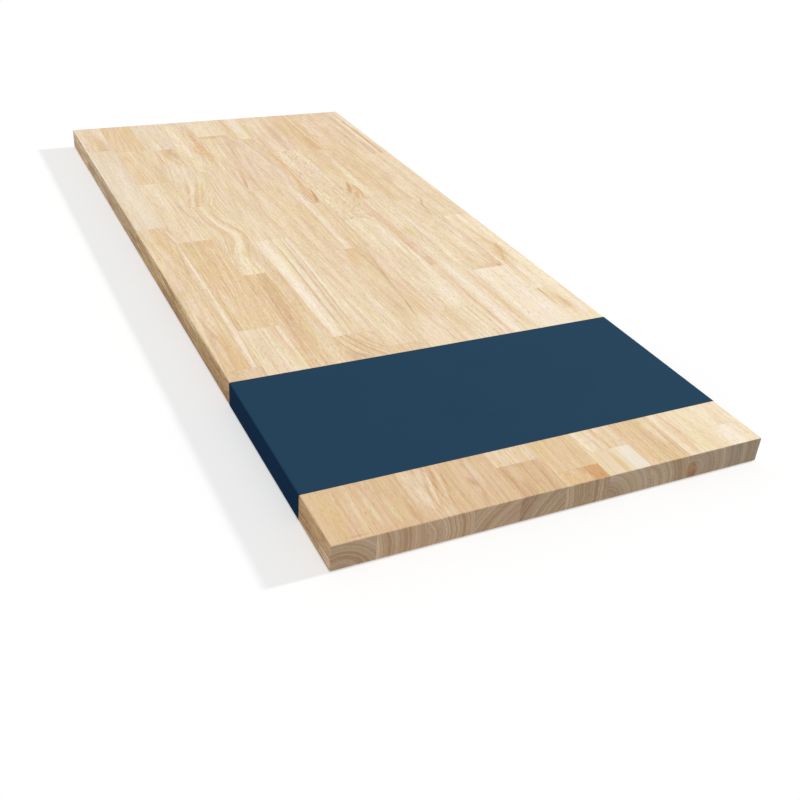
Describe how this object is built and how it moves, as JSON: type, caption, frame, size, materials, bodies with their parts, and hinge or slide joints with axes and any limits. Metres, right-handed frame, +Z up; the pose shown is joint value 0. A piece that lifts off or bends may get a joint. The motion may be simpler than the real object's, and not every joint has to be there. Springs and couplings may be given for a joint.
{
  "type": "butcher block countertop",
  "caption": "Flat rectangular wood worktop of edge-glued staves made from finger-jointed blocks, with eased edges and a plain card sleeve wrapped round one end.",
  "frame": {"origin": "middle of the plan, on the plane of the lowest face, which is the sleeve's lap", "axes": "+X along the length towards the sleeved end, +Y across the width, +Z up through the thickness"},
  "size_m": [1.524, 0.6358, 0.0393],
  "materials": {
    "pale_wood": "sanded bare rubberwood, cream, satin",
    "honey_wood": "sanded bare rubberwood, honey, satin",
    "tan_wood": "sanded bare rubberwood, tan, satin",
    "navy_card": "printed card, dark navy, satin"
  },
  "bodies": {
    "root": {"card_sleeve": "navy_card", "stave_01_block_1": "honey_wood", "stave_01_block_2": "pale_wood", "stave_01_block_3": "honey_wood", "stave_01_block_4": "honey_wood", "stave_01_block_5": "tan_wood", "stave_02_block_1": "honey_wood", "stave_02_block_2": "honey_wood", "stave_02_block_3": "pale_wood", "stave_02_block_4": "honey_wood", "stave_02_block_5": "pale_wood", "stave_02_block_6": "tan_wood", "stave_03_block_1": "pale_wood", "stave_03_block_2": "pale_wood", "stave_03_block_3": "pale_wood", "stave_03_block_4": "tan_wood", "stave_03_block_5": "honey_wood", "stave_04_block_1": "pale_wood", "stave_04_block_2": "pale_wood", "stave_04_block_3": "pale_wood", "stave_04_block_4": "tan_wood", "stave_04_block_5": "tan_wood", "stave_05_block_1": "pale_wood", "stave_05_block_2": "honey_wood", "stave_05_block_3": "honey_wood", "stave_05_block_4": "pale_wood", "stave_05_block_5": "honey_wood", "stave_05_block_6": "tan_wood", "stave_06_block_1": "pale_wood", "stave_06_block_2": "honey_wood", "stave_06_block_3": "honey_wood", "stave_06_block_4": "honey_wood", "stave_06_block_5": "honey_wood", "stave_06_block_6": "honey_wood", "stave_07_block_1": "honey_wood", "stave_07_block_2": "pale_wood", "stave_07_block_3": "pale_wood", "stave_07_block_4": "pale_wood", "stave_07_block_5": "pale_wood", "stave_08_block_1": "tan_wood", "stave_08_block_2": "honey_wood", "stave_08_block_3": "pale_wood", "stave_08_block_4": "pale_wood", "stave_08_block_5": "honey_wood", "stave_09_block_1": "honey_wood", "stave_09_block_2": "honey_wood", "stave_09_block_3": "honey_wood", "stave_09_block_4": "pale_wood", "stave_09_block_5": "pale_wood", "stave_10_block_1": "honey_wood", "stave_10_block_2": "honey_wood", "stave_10_block_3": "pale_wood", "stave_10_block_4": "pale_wood", "stave_10_block_5": "pale_wood"}
  },
  "joints": []
}
